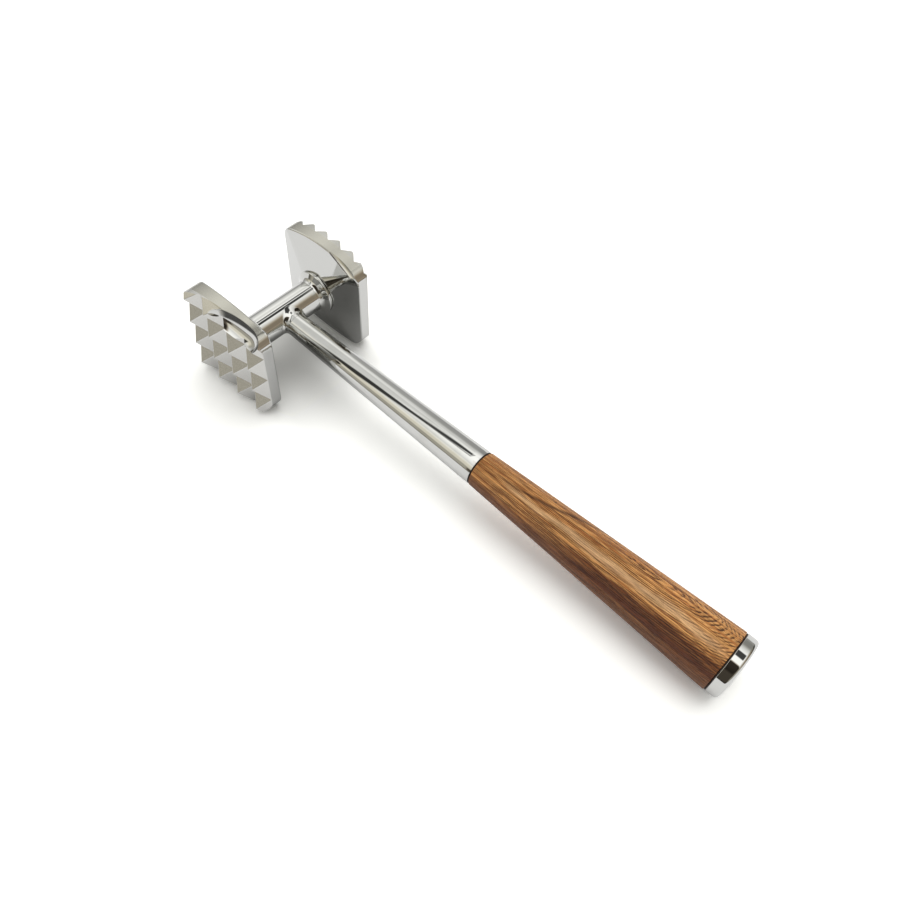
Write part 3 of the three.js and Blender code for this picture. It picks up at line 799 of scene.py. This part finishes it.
# A curved side with a gleam in it and two bars at its north end. This gives the frame's darkness, and
# how much darker the sky is outside its curved side
def frameMasks(nodes, u, v, z):
    look = windowFrame
    curve = look["lean"] * v - look["bend"] * v * v + look["at"]
    fromSide = u - curve - look["shift"] * nodes.ramp(v, *look["shiftOver"])
    gleam = nodes.band(fromSide, *look["gleam"]) * nodes.ramp(v, *look["gleamOver"])
    side = nodes.band(fromSide, *look["side"]) - look["gleamLevel"] * gleam
    side = side * nodes.band(v, *look["sideLength"])
    westBar = nodes.band(u, *look["westBar"]) * nodes.band(v, *look["westLength"])
    eastBar = nodes.band(u, *look["eastBar"]) * nodes.band(v, *look["eastLength"])
    bars = look["westDark"] * westBar + eastBar
    outside = (1 - nodes.ramp(fromSide, *look["outside"])) * nodes.ramp(z, *look["outsideHeights"])
    outsideDark = look["outsideDark"] - look["outsideGapDark"] * nodes.band(v, *look["outsideGap"])
    return (look["dark"] * side).math("MAXIMUM", look["dark"] * bars), outside * outsideDark


def addWorld():
    tiny = 0.0001
    world = bpy.data.worlds.new("studio")
    bpy.context.scene.world = world
    world.use_nodes = True
    nodes = Nodes(world.node_tree)
    x, y, z = nodes.split(nodes.add("ShaderNodeTexCoord", output="Generated"))
    flat = (x * x + y * y + tiny) ** 0.5
    u = x / (1 + tiny + z)
    v = y / (1 + tiny + z)

    def wallPart(part):
        east, north = part["towards"]
        facing = nodes.ramp((east * x + north * y) / flat, *part["cosines"])
        return facing * nodes.hill(z, *part["heights"])

    tanWalls = wallPart(studio["tanWalls"])
    level = studio["wallLevel"] + nodes.ramp(z, *studio["brightUpwards"])
    for part in studio["bright"]:
        level = level + part["strength"] * wallPart(part)
    for part in studio["dim"]:
        level = level * (1 - part["strength"] * wallPart(part))
    level = level * (1 - studio["footDark"] * tanWalls * (1 - nodes.ramp(z, *studio["foot"])))

    frameDark, outsideDark = frameMasks(nodes, u, v, z)
    spread = doorway["spread"] * (1 - nodes.ramp(z, *doorway["spreadBelow"]))
    inDoorway = nodes.band(u + spread, *doorway["width"]) * nodes.band(v, *doorway["length"])
    inDoorway = inDoorway * (doorway["dark"] + doorway["darkerUp"] * nodes.ramp(z, *doorway["darkerHeights"]))
    level = level * (1 - outsideDark) * (1 - frameDark.math("MAXIMUM", inDoorway))

    brown = inDoorway.math("MAXIMUM", tanWalls * wallPart(studio["brownWall"]))
    tint = nodes.mix(brown, nodes.mix(tanWalls, studio["wall"], studio["tan"]), studio["brown"])
    white = (1, 1, 1, 1)
    room = nodes.add("ShaderNodeBackground", {}, {"Color": tint, "Strength": level})
    plain = nodes.add("ShaderNodeBackground", {}, {"Color": white, "Strength": studio["plainLevel"]})
    backdrop = nodes.add("ShaderNodeBackground", {}, {"Color": white, "Strength": 1})
    toMirrors = nodes.add("ShaderNodeLightPath", output="Is Glossy Ray")
    toCamera = nodes.add("ShaderNodeLightPath", output="Is Camera Ray")
    mixed = nodes.add("ShaderNodeMixShader", {}, {0: toMirrors, 1: plain, 2: room})
    mixed = nodes.add("ShaderNodeMixShader", {}, {0: toCamera, 1: mixed, 2: backdrop})
    nodes.add("ShaderNodeOutputWorld", {}, {"Surface": mixed})


addCamera(cameraLook)
addFloor()
addLight()
addWorld()
print("camera, floor and light set")

chrome = chromeMaterial()
fibre = fibreMaterial()
facePiece("coarse_face_plate", coarseTeeth, coarseScoopMesh())
facePiece("fine_face_plate", fineTeeth, fineScoopMesh())
print("faces made")
barrelPiece(chrome)
collarPiece("coarse_side_flared_collar", -1, chrome)
collarPiece("fine_side_flared_collar", 1, chrome)
shaftPiece(chrome)
rootRingPiece(chrome)
print("crossbar and shaft made")
gripPiece()
seamPiece("shaft_seam_washer", shaft["end"], handle["bore"], shaft["endRadius"], fibre)
seamPiece("cap_seam_washer", handle["gripEnd"], handle["pocketRadius"], handle["endRadius"], fibre)
capPiece(chrome)
dressInside(machinedSteelMaterial())
print("grip and cap made")

bpy.context.scene.view_settings.view_transform = "Standard"
